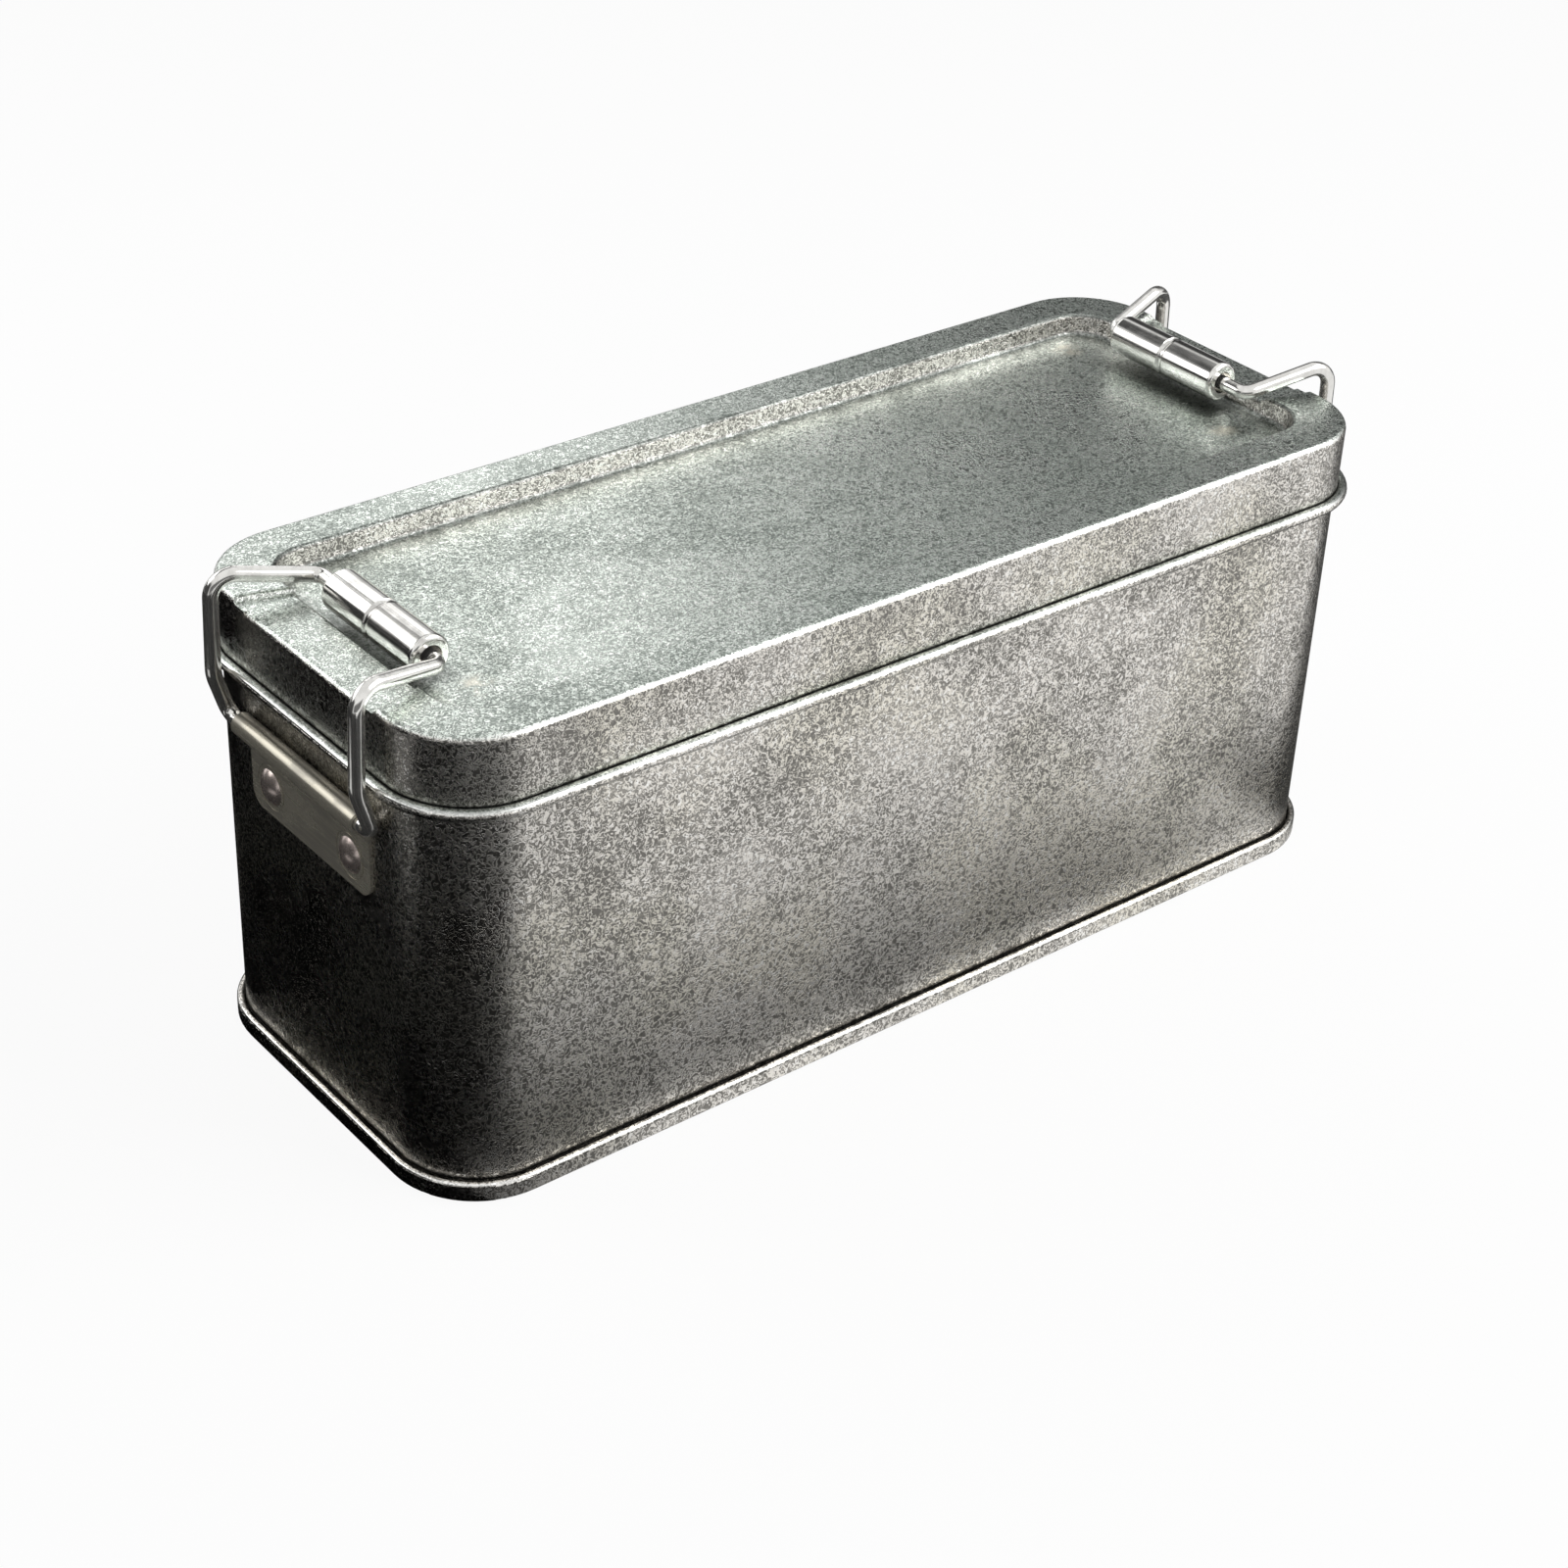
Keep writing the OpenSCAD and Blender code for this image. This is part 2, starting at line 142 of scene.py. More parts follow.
class ClampFinish(PropertyGroup):
    """Colours of the wires, rollers, plates and rivets."""

    wire: tint("Wire", "Nickel of the clamp wires and rollers", (0.80, 0.79, 0.76))
    wire_dark: tint("Wire, dark", "Dull streaks on wires and rollers", (0.38, 0.37, 0.35))
    plate: tint("Hinge plate", "Steel of the hinge plates", (0.43, 0.405, 0.335))
    plate_dark: tint("Hinge plate, dark", "Dull patches on the plates", (0.25, 0.235, 0.21))
    rivet: tint("Rivet", "Domed heads of the rivets", (0.78, 0.67, 0.62))
    rivet_dark: tint("Rivet, dark", "Dull patches on the rivets", (0.36, 0.29, 0.265))
    wire_roughness: share(
        "Wire roughness", "How dull the reflections of wires and rollers are", 0.11)
    plate_roughness: share(
        "Plate roughness", "How dull the reflections of plates and rivets are", 0.26)


class StudioSettings(PropertyGroup):
    """Camera, floor and lamps."""

    camera_place: FloatVectorProperty(
        name="Camera", description="Where the camera stands", subtype="TRANSLATION",
        unit="LENGTH", size=3, default=(-0.283798, -0.338043, 0.302757),
    )
    camera_turn: FloatVectorProperty(
        name="Camera turn", description="How the camera is turned", subtype="EULER",
        unit="ROTATION", size=3, default=(1.009043, -0.037107, -0.668724),
    )
    camera_lens: FloatProperty(
        name="Lens", description=f"Millimetres of focal length for a sensor of {SENSOR_WIDTH:g}",
        min=10.0, max=300.0, default=69.651,
    )
    floor_colour: tint("Floor", "Colour of the floor", (0.94, 0.94, 0.94))
    floor_size: distance("Floor size", "Length of the floor's side", 12.0)
    key_radiance: brightness("Key", "Brightness of the large softbox", 3.6)
    back_radiance: brightness("Back", "Brightness of the softbox behind", 0.9)
    strip_radiance: brightness("Strip", "Brightness of the strip behind the left end", 2.2)
    ambient: share("Ambient", "Even light from all round", 0.42)


class TinSettings(PropertyGroup):
    """All that can be changed."""

    tinplate: PointerProperty(type=TinplateFinish)
    clamp: PointerProperty(type=ClampFinish)
    studio: PointerProperty(type=StudioSettings)


# ------------------------------------------------------------- node building

class NodeBench:
    """Short ways to add and join nodes in one node tree. It is called s where it is used."""

    # A Mix node has sockets for each type of data, and those for colours are these
    MIX_AMOUNT, MIX_FIRST, MIX_SECOND, MIX_RESULT = 0, 6, 7, 2

    def __init__(self, tree):
        self.tree = tree

    def add(self, kind, inputs=None, **settings):
        """A node with its settings, and its inputs set or joined."""
        node = self.tree.nodes.new(kind)
        for key, value in settings.items():
            setattr(node, key, value)
        for key, value in (inputs or {}).items():
            self.put(value, node.inputs[key])
        return node

    def put(self, value, socket):
        """Joins an output to a socket, or sets the socket's own value."""
        if isinstance(value, bpy.types.NodeSocket):
            self.tree.links.new(value, socket)
        elif socket.type == "RGBA":
            socket.default_value = (*tuple(value)[:3], 1.0)
        else:
            socket.default_value = value

    def group(self, tree, inputs):
        """The outputs of a node group, with its inputs set or joined."""
        node = self.tree.nodes.new("ShaderNodeGroup")
        node.node_tree = tree
        for key, value in inputs.items():
            self.put(value, node.inputs[key])
        return node.outputs

    # Numbers

    def calc(self, operation, *values, clamp=False):
        """A Math node's result."""
        node = self.tree.nodes.new("ShaderNodeMath")
        node.operation = operation
        node.use_clamp = clamp
        for i, value in enumerate(values):
            self.put(value, node.inputs[i])
        return node.outputs[0]

    def product(self, value, *others):
        """Several values multiplied together."""
        for other in others:
            value = self.calc("MULTIPLY", value, other)
        return value

    def rest(self, value):
        """What a value leaves of 1."""
        return self.calc("SUBTRACT", 1.0, value)

    def off(self, value, middle, amount):
        """How far a value is off a middle, times an amount."""
        return self.calc("MULTIPLY", self.calc("SUBTRACT", value, middle), amount)

    def ease(self, value, start, end, low=0.0, high=1.0):
        """A smooth step from low to high as value goes from start to end."""
        node = self.add(
            "ShaderNodeMapRange",
            {"Value": value, "From Min": start, "From Max": end, "To Min": low, "To Max": high},
            interpolation_type="SMOOTHSTEP",
        )
        return node.outputs[0]

    def noise(self, place, scale, detail=2.0, roughness=0.5, distortion=0.0):
        """A Noise texture's value."""
        return self.add(
            "ShaderNodeTexNoise",
            {"Vector": place, "Scale": scale, "Detail": detail, "Roughness": roughness,
             "Distortion": distortion},
        ).outputs[0]

    # Colours and vectors

    def blend(self, amount, first, second):
        """A colour between two others."""
        node = self.add("ShaderNodeMix", data_type="RGBA", clamp_factor=True)
        self.put(amount, node.inputs[self.MIX_AMOUNT])
        self.put(first, node.inputs[self.MIX_FIRST])
        self.put(second, node.inputs[self.MIX_SECOND])
        return node.outputs[self.MIX_RESULT]

    def coordinates(self):
        """Where a point lies on the object, under Object, and how it faces, under Normal."""
        return self.add("ShaderNodeTexCoord").outputs

    def axes(self, vector):
        """A vector's X, Y and Z."""
        return self.add("ShaderNodeSeparateXYZ", {0: vector}).outputs

    def combine(self, x, y, z=0.0):
        """A vector of three values."""
        return self.add("ShaderNodeCombineXYZ", {"X": x, "Y": y, "Z": z}).outputs[0]

    def vector(self, operation, first, second=(0.0, 0.0, 0.0)):
        """A Vector Math node's outputs."""
        return self.add(
            "ShaderNodeVectorMath", {0: first, 1: second}, operation=operation).outputs

    def levelness(self, normal):
        """0 where the sheet stands upright, 1 where it lies level, whichever way up."""
        return self.calc("ABSOLUTE", self.axes(normal)["Z"])


VALUE, COLOUR = "NodeSocketFloat", "NodeSocketColor"


def node_group(name, inputs, outputs):
    """Turns a function that fills a node group into one that builds the group the first
    time and finds it again after that. inputs gives each input's default, and outputs
    each output's kind. The function gets a bench and the inputs, and returns what goes
    to each output."""

    def build(fill):
        tree = bpy.data.node_groups.new(name, "ShaderNodeTree")
        for label, default in inputs.items():
            kind = COLOUR if isinstance(default, tuple) else VALUE
            tree.interface.new_socket(
                name=label, in_out="INPUT", socket_type=kind).default_value = default
        for label, kind in outputs.items():
            tree.interface.new_socket(name=label, in_out="OUTPUT", socket_type=kind)
        s = NodeBench(tree)
        s.add("NodeGroupOutput", fill(s, s.add("NodeGroupInput").outputs))
        return tree

    def wrap(fill):
        @functools.wraps(fill)
        def find():
            return bpy.data.node_groups.get(name) or build(fill)

        return find

    return wrap


# --------------------------------------------------- effects, as node groups

@node_group("Curly flecks", {"Size": 0.001}, {"Strokes": VALUE, "Bright": VALUE})
def curly_flecks(s, given):
    """Short bent strokes all over the sheet, and the few bright ones."""
    place = s.coordinates()["Object"]
    scale = s.calc("DIVIDE", 1.0, given["Size"])
    # A stroke follows a contour of the noise, and fades out to both sides of it
    contour = s.noise(place, scale, detail=1.0, roughness=0.45, distortion=1.2)
    away = s.calc("ABSOLUTE", s.calc("SUBTRACT", contour, 0.5))
    sharpness = 10.0
    stroke = s.calc("SUBTRACT", 1.0, s.calc("MULTIPLY", away, sharpness), clamp=True)
    dots = s.noise(place, s.calc("MULTIPLY", scale, 1.9), detail=1.0, distortion=0.6)
    both = s.calc("ADD", s.calc("MULTIPLY", stroke, 0.75), s.calc("MULTIPLY", dots, 0.7))
    lit = s.ease(s.noise(place, s.calc("MULTIPLY", scale, 0.9), detail=1.0), 0.50, 0.64)
    return {"Strokes": s.ease(both, 0.30, 1.02), "Bright": s.product(stroke, lit)}


@node_group("Cloudy patches", {"Size": 0.011}, {"Mask": VALUE})
def cloudy_patches(s, given):
    """Soft blotches that drift from dull to pale."""
    place = s.coordinates()["Object"]
    scale = s.calc("DIVIDE", 1.0, given["Size"])
    broad = s.noise(place, s.calc("MULTIPLY", scale, 0.4), distortion=0.3)
    small = s.noise(place, scale, detail=6.0, roughness=0.68, distortion=0.2)
    both = s.calc("ADD", s.calc("MULTIPLY", broad, 0.5), s.calc("MULTIPLY", small, 0.5))
    return {"Mask": s.ease(both, 0.36, 0.64)}


@node_group("Drawn streaks", {"Across X": 700.0, "Across Y": 700.0, "Across Z": 25.0},
            {"Mask": VALUE})
def drawn_streaks(s, given):
    """Faint lines along one axis, left by the rollers of the mill. Each input is the
    number of lines that a metre along that axis crosses."""
    scale = s.combine(given["Across X"], given["Across Y"], given["Across Z"])
    stretched = s.vector("MULTIPLY", s.coordinates()["Object"], scale)[0]
    return {"Mask": s.ease(s.noise(stretched, 1.0, detail=3.0, roughness=0.6), 0.3, 0.7)}


@node_group("Turned edges", {"From": 0.32, "To": 0.96},
            {"Rubbed and highlit": VALUE, "Inward shade": VALUE, "Outwards": VALUE})
def turned_edges(s, given):
    """Where the sheet turns between upright and level, apart by whether it faces outwards, where
    it is worn bright and a highlight is painted on it, or inwards, where shade is painted on it."""
    coord = s.coordinates()
    level = s.levelness(coord["Normal"])
    rise, fall = 0.20, 0.14
    risen = s.ease(level, given["From"], s.calc("ADD", given["From"], rise))
    fallen = s.ease(level, given["To"], s.calc("SUBTRACT", given["To"], fall))
    pressed = s.ease(level, 0.998, 0.93)
    from_middle = s.vector("MULTIPLY", coord["Object"], (1.0, 1.0, 0.0))[0]
    facing = s.vector("DOT_PRODUCT", from_middle, coord["Normal"])["Value"]
    outwards = s.ease(facing, -0.001, 0.001)
    uneven = s.noise(coord["Object"], 160.0, detail=4.0, roughness=0.6)
    turn = s.product(risen, s.ease(uneven, 0.2, 0.55, low=0.55))
    # Hands lift the lid by its long sides, so its top edge is hardly rubbed at the ends, and the
    # painted highlight is mostly left off there too
    at = s.axes(coord["Object"])
    end_from, end_to = 0.080, 0.090
    spared = s.product(s.ease(s.calc("ABSOLUTE", at["X"]), end_from, end_to),
                       s.ease(at["Z"], PANEL_WALL - 0.0010, PANEL_WALL), 0.85)
    return {
        "Rubbed and highlit": s.product(turn, fallen, s.rest(spared), outwards),
        "Inward shade": s.product(turn, pressed, s.rest(outwards)),
        "Outwards": outwards,
    }


@node_group("Panel marks", {}, {"Roller and foot shade": VALUE, "Smears": VALUE})
def panel_marks(s, given):
    """A painted shadow under each roller and painted shade along the foot of the sunken panel's
    wall, and a few pale smears beside them."""
    coord = s.coordinates()
    at = s.axes(coord["Object"])
    x, y = (s.calc("ABSOLUTE", at[axis]) for axis in "XY")
    sunken = s.product(s.ease(at["Z"], PANEL_WALL, PANEL_WALL - 0.0004),
                       s.ease(s.axes(coord["Normal"])["Z"], 0.5, 0.9))
    ragged = s.noise(coord["Object"], 260.0, detail=4.0, roughness=0.6)

    # Painted shadow on the panel under each roller
    under_roller = s.product(s.ease(x, ROLLER_IN - 0.0034, ROLLER_IN + 0.0012),
                             s.ease(y, ROLLER_RUN + 0.0030, ROLLER_RUN - 0.0040),
                             s.ease(ragged, 0.25, 0.55, low=0.70), 0.70)

    # How far a point lies in from the panel's wall, round its corners too
    past_x = s.calc("SUBTRACT", x, PANEL_LONG - PANEL_RADIUS)
    past_y = s.calc("SUBTRACT", y, PANEL_WIDE - PANEL_RADIUS)
    round_corner = s.vector("LENGTH", s.combine(
        s.calc("MAXIMUM", past_x, 0.0), s.calc("MAXIMUM", past_y, 0.0)))["Value"]
    before_corner = s.calc("MINIMUM", s.calc("MAXIMUM", past_x, past_y), 0.0)
    inwards = s.calc("SUBTRACT", PANEL_RADIUS, s.calc("ADD", round_corner, before_corner))
    # Painted shade along the foot of the panel's wall
    darkened_core, darkened_end = 0.0012, 0.0052
    at_foot = s.product(s.ease(inwards, darkened_end, darkened_core),
                        s.ease(ragged, 0.15, 0.6, low=0.55, high=0.9), 0.55)

    smear_out, smear_core, smear_end = 0.0765, 0.0005, 0.0040
    smears = 0.0
    for smear_along in (0.0220, -0.0175):
        away = s.vector("DISTANCE", s.combine(x, at["Y"]), (smear_out, smear_along, 0.0))
        smears = s.calc("MAXIMUM", smears, s.ease(away["Value"], smear_end, smear_core))
    return {
        "Roller and foot shade": s.product(s.calc("MAXIMUM", under_roller, at_foot), sunken),
        "Smears": s.product(smears, s.ease(ragged, 0.42, 0.62), sunken),
    }


@node_group("Crease shade", {"Level": 0.0, "Height": 0.0006}, {"Mask": VALUE})
def crease_shade(s, given):
    """Painted shade: a thin dark line along the crease on the upright sheet at one level, and a
    dark patch between the lid's bead and the knuckles."""
    coord = s.coordinates()
    at = s.axes(coord["Object"])
    ragged = s.off(s.noise(coord["Object"], 500.0, detail=3.0), 0.5, given["Height"])
    away = s.calc("ABSOLUTE", s.calc("SUBTRACT", s.calc("ADD", at["Z"], ragged),
                                     given["Level"]))
    line = s.ease(away, given["Height"], 0.0)
    # Painted shade on the wall between the lid's bead and the knuckles
    end_from, end_to = 0.0930, 0.0945
    above_knuckle = s.product(
        s.ease(s.calc("ABSOLUTE", at["X"]), end_from, end_to),
        s.ease(s.calc("ABSOLUTE", at["Y"]), KNUCKLE_RUN + 0.004, KNUCKLE_RUN - 0.003),
        s.ease(at["Z"], KNUCKLE_TOP - 0.006, KNUCKLE_TOP),
        s.ease(at["Z"], BEAD_CREASE, BEAD_CREASE - 0.003), 0.5)
    upright = s.ease(s.levelness(coord["Normal"]), 0.75, 0.3)
    return {"Mask": s.product(s.calc("MAXIMUM", line, above_knuckle), upright)}


@node_group("Sheet waves", {"Waves": 1.0, "Grain": 0.15}, {"Height": VALUE})
def sheet_waves(s, given):
    """The slight unevenness of thin sheet, and the grain of its coating."""
    place = s.coordinates()["Object"]
    slow = s.product(s.noise(place, 16.0, detail=1.0), given["Waves"])
    fine = s.product(s.noise(place, 1500.0, roughness=0.6), given["Grain"])
    return {"Height": s.calc("ADD", slow, fine)}


@node_group(
    "Aged tinplate",
    {"Pale": (0.6, 0.6, 0.6, 1.0), "Dull": (0.4, 0.4, 0.4, 1.0), "Warm": (0.6, 0.6, 0.5, 1.0),
     "Top pale": (0.6, 0.6, 0.6, 1.0), "Top dull": (0.4, 0.4, 0.4, 1.0), "Top share": 0.0,
     "Bright": (0.9, 0.9, 0.9, 1.0), "Painted shade": (0.0, 0.0, 0.0, 1.0), "Fleck size": 0.001,
     "Cloud size": 0.011, "Flecks": 0.5, "Clouds": 0.5, "Rub and highlight": 0.7, "Crease level": 0.0,
     "Crease height": 0.0006, "Stain": (0.8, 0.8, 0.7, 1.0), "Marks": 0.0,
     "Roughness": 0.4},
    {"Colour": COLOUR, "Roughness": VALUE, "Height": VALUE},
)
def aged_tinplate(s, given):
    """Patches, flecks, streaks, rubbed edges with a painted highlight, and painted shade on thin
    sheet.
    """
    coord = s.coordinates()
    flecks = s.group(curly_flecks(), {"Size": given["Fleck size"]})
    clouds = s.group(cloudy_patches(), {"Size": given["Cloud size"]})["Mask"]
    streaks = s.group(drawn_streaks(), {})["Mask"]
    edges = s.group(turned_edges(), {})
    marks = s.group(panel_marks(), {})
    shade = s.group(crease_shade(), {
        "Level": given["Crease level"], "Height": given["Crease height"]})["Mask"]

    # From dull at 0 to pale at 1. The strokes stand out most in a pale patch
    streak_share, usual_stroke = 0.08, 0.31
    tone = s.calc("ADD", 0.5, s.off(clouds, 0.5, given["Clouds"]))
    tone = s.calc("ADD", tone, s.off(streaks, 0.5, streak_share))
    contrast = s.calc("ADD", 0.95, s.calc("MULTIPLY", clouds, 0.95))
    tone = s.calc("ADD", tone, s.off(flecks["Strokes"], usual_stroke, contrast), clamp=True)

    top = s.product(s.ease(s.levelness(coord["Normal"]), 0.3, 0.9), given["Top share"])
    yellowed = s.ease(s.noise(coord["Object"], 28.0), 0.42, 0.64)
    pale = s.blend(s.product(yellowed, edges["Outwards"]), given["Pale"], given["Warm"])
    pale = s.blend(top, pale, given["Top pale"])
    dull = s.blend(top, given["Dull"], given["Top dull"])
    colour = s.blend(tone, dull, pale)

    shown = s.product(flecks["Bright"], given["Flecks"], s.calc(
        "ADD", 0.10, s.calc("MULTIPLY", clouds, 1.20)))
    # Rubbed edges: worn bright, and a painted highlight along the outward turns
    rubbed_and_highlit = s.product(edges["Rubbed and highlit"], given["Rub and highlight"])
    # Painted shade: creases, inward turns, the panel under each roller and the foot of the
    # panel's wall are darkened towards the shade colour
    darkened = s.calc("MAXIMUM", shade, s.calc("MULTIPLY", edges["Inward shade"], 0.7))
    darkened = s.calc("MAXIMUM", darkened, s.product(marks["Roller and foot shade"], given["Marks"]))
    colour = s.blend(shown, colour, given["Bright"])
    colour = s.blend(rubbed_and_highlit, colour, given["Bright"])
    colour = s.blend(s.product(marks["Smears"], given["Marks"]), colour, given["Stain"])
    colour = s.blend(darkened, colour, given["Painted shade"])

    # Pale patches, bright flecks and rubbed edges are smoother, and the painted shade is duller
    rough = s.calc("ADD", given["Roughness"], s.off(clouds, 0.5, -0.10))
    for mask, change in ((flecks["Bright"], -0.08), (rubbed_and_highlit, -0.14), (darkened, 0.10)):
        rough = s.calc("ADD", rough, s.calc("MULTIPLY", mask, change))
    smoothest = 0.12

    # An edge is worn smooth, so the flecks' relief fades out there
    unworn = s.rest(s.ease(edges["Rubbed and highlit"], 0.0, 0.4))
    grain, stroke_relief = 0.04, 0.045
    waves = s.group(sheet_waves(), {"Grain": s.calc("MULTIPLY", unworn, grain)})["Height"]
    strokes = s.product(flecks["Strokes"], unworn, stroke_relief)
    return {
        "Colour": colour,
        "Roughness": s.calc("MAXIMUM", rough, smoothest),
        "Height": s.calc("ADD", waves, strokes),
    }


@node_group(
    "Polished metal",
    {"Metal": (0.7, 0.7, 0.7, 1.0), "Dull": (0.4, 0.4, 0.4, 1.0), "Patch size": 0.006,
     "Dulling": 0.5, "Across X": 900.0, "Across Y": 60.0, "Across Z": 900.0,
     "Roughness": 0.2},
    {"Colour": COLOUR, "Roughness": VALUE, "Height": VALUE},
)
def polished_metal(s, given):
    """Fine polishing lines and dull patches."""
    patches = s.group(cloudy_patches(), {"Size": given["Patch size"]})["Mask"]
    lines = s.group(drawn_streaks(), {
        label: given[label] for label in ("Across X", "Across Y", "Across Z")})["Mask"]
    worn = s.calc("ADD", s.calc("MULTIPLY", patches, 0.6), s.calc("MULTIPLY", lines, 0.4))
    amount = s.product(s.ease(worn, 0.35, 0.85), given["Dulling"])
    return {
        "Colour": s.blend(amount, given["Metal"], given["Dull"]),
        "Roughness": s.calc("ADD", given["Roughness"], s.calc("MULTIPLY", amount, 0.16)),
        "Height": lines,
    }


# ------------------------------------------------------------------ finishes

def metal_material(name, group, inputs, relief, metallic=1.0):
    """A metal whose colour, roughness and relief come from one node group."""
    material = bpy.data.materials.new(name)
    material.use_nodes = True
    s = NodeBench(material.node_tree)
    shader = material.node_tree.nodes["Principled BSDF"]
    shader.inputs["Metallic"].default_value = metallic
    made = s.group(group, inputs)
    s.put(made["Colour"], shader.inputs["Base Color"])
    s.put(made["Roughness"], shader.inputs["Roughness"])
    bump = s.add("ShaderNodeBump", {"Height": made["Height"], "Distance": relief})
    s.put(bump.outputs["Normal"], shader.inputs["Normal"])
    return material


def tinplate_material(name, crease_level, crease_height, has_top=False):
    """Aged tinplate for one of the pressings. A top is a little greener than a wall, its flecks
    are smaller, and it has a painted shadow under each roller, painted shade along the foot of
    its sunken panel and pale smears."""
    finish = bpy.context.scene.tin.tinplate
    top, fleck_scale = (1.0, 0.8) if has_top else (0.0, 1.0)
    return metal_material(name, aged_tinplate(), {
        "Top share": top, "Top pale": finish.lid_pale, "Top dull": finish.lid_dull,
        "Pale": finish.wall_pale, "Dull": finish.wall_dull, "Warm": finish.wall_warm,
        "Bright": finish.bright, "Painted shade": finish.shade, "Stain": finish.stain, "Marks": top,
        "Fleck size": finish.fleck_size * fleck_scale,
        "Cloud size": finish.cloud_size, "Flecks": finish.flecks, "Clouds": finish.clouds,
        "Rub and highlight": finish.rub_and_highlight, "Crease level": crease_level, "Crease height": crease_height,
        "Roughness": finish.roughness,
    }, relief=0.0004)


def polished_material(name, metal, dull, roughness, patch_size, dulling, lines, relief,
                      metallic=1.0):
    """Polished metal for one of the clamp's pieces. lines is the number of polishing
    lines that a metre along x, y and z crosses."""
    return metal_material(name, polished_metal(), {
        "Metal": metal, "Dull": dull, "Roughness": roughness, "Patch size": patch_size,
        "Dulling": dulling, "Across X": lines[0], "Across Y": lines[1], "Across Z": lines[2],
    }, relief, metallic)


def dress(nodes, material):
    """Gives a finish to whole CAD nodes."""
    for name in nodes:
        slots = frame["nodes"][name].material_slots
        if not slots:
            raise RuntimeError(f"{name} has no material slot to take a finish")
        for slot in slots:
            slot.material = material


# --------------------------------------------------------------------- stage

def on_sphere(azimuth, elevation, reach):
    """A point at a distance from the middle of the tin's foot, angles in degrees."""
    a, e = math.radians(azimuth), math.radians(elevation)
    return Vector((math.cos(a) * math.cos(e), math.sin(a) * math.cos(e), math.sin(e))) * reach


def aim(thing, place):
    """Puts a lamp or card somewhere, with its front to the tin."""
    thing.location = place
    thing.rotation_euler = (Vector(TIN_MIDDLE) - place).to_track_quat("-Z", "Y").to_euler()


def softbox(name, azimuth, elevation, reach, width, height, radiance):
    """A rectangular lamp of the given brightness that looks at the tin."""
    lamp = bpy.data.lights.new(name, "AREA")
    lamp.shape = "RECTANGLE"
    lamp.size, lamp.size_y = width, height
    lamp.energy = radiance * math.pi * width * height
    thing = bpy.data.objects.new(name, lamp)
    bpy.context.scene.collection.objects.link(thing)
    aim(thing, on_sphere(azimuth, elevation, reach))


def flat_sheet(name, width, height):
    """A flat rectangle round its own origin."""
    x, y = width / 2, height / 2
    mesh = bpy.data.meshes.new(name)
    mesh.from_pydata([(-x, -y, 0), (x, -y, 0), (x, y, 0), (-x, y, 0)], [], [(0, 1, 2, 3)])
    thing = bpy.data.objects.new(name, mesh)
    bpy.context.scene.collection.objects.link(thing)
    return thing


def seen_as_background(s):
    """1 where a camera, mirror or glass ray looks, which should find a pale room."""
    path = s.add("ShaderNodeLightPath").outputs
    return s.calc("MAXIMUM", s.calc(
        "MAXIMUM", path["Is Camera Ray"], path["Is Glossy Ray"]), path["Is Transmission Ray"])


def soft_card(name, width, height, edges, strength, tone=0.0):
    """A card that only reflections see, black unless tone says otherwise. edges gives
    the soft width of its left, right, lower and upper edge, and strength how much of
    what is behind it its middle covers."""
    card = flat_sheet(name, width, height)
    for ray in ("camera", "diffuse", "shadow", "transmission", "volume_scatter"):
        setattr(card, "visible_" + ray, False)
    material = bpy.data.materials.new(name)
    material.use_nodes = True
    tree = material.node_tree
    tree.nodes.clear()
    s = NodeBench(tree)
    at = s.axes(s.coordinates()["Object"])
    left, right, lower, upper = edges
    covered = s.product(s.ease(at["X"], -width / 2, left - width / 2),
                        s.ease(at["X"], width / 2, width / 2 - right),
                        s.ease(at["Y"], -height / 2, lower - height / 2),
                        s.ease(at["Y"], height / 2, height / 2 - upper), strength)
    clear = s.add("ShaderNodeBsdfTransparent")
    paint = s.add("ShaderNodeEmission", {"Color": (1.0, 1.0, 1.0), "Strength": tone})
    mix = s.add("ShaderNodeMixShader", {0: covered, 1: clear.outputs[0], 2: paint.outputs[0]})
    s.add("ShaderNodeOutputMaterial", {"Surface": mix.outputs[0]})
    material.cycles.emission_sampling = "NONE"
    card.data.materials.append(material)
    return card


def lay_card(name, across, along, edges, strength, level, turn=0, tone=0.0):
    """A card that lies just over the floor, between two x and two y, and is then
    turned about the middle of the tin by an angle in degrees."""
    card = soft_card(name, across[1] - across[0], along[1] - along[0], edges, strength, tone)
    card.location = Vector((sum(across) / 2, sum(along) / 2, level))
    card.location.rotate(Euler((0, 0, math.radians(turn))))
    card.rotation_euler = (0, 0, math.radians(turn))


def stand_card(name, azimuth, reach, width, heights, edges, strength):
    """A black card that stands upright at a distance, facing the tin, between two
    levels."""
    card = soft_card(name, width, heights[1] - heights[0], edges, strength)
    card.location = on_sphere(azimuth, 0, reach) + Vector((0, 0, sum(heights) / 2))
    card.rotation_euler = (math.radians(90), 0, math.radians(azimuth - 90))


def place_camera(studio):
    """The camera that looks at the tin from above its front left corner."""
    lens = bpy.data.cameras.new("studio_camera")
    lens.lens = studio.camera_lens
    lens.sensor_width = SENSOR_WIDTH
    lens.clip_start, lens.clip_end = 0.01, 50.0
    camera = bpy.data.objects.new("studio_camera", lens)
    bpy.context.scene.collection.objects.link(camera)
    camera.location = studio.camera_place
    camera.rotation_euler = Euler(studio.camera_turn, "XYZ")
    bpy.context.scene.camera = camera


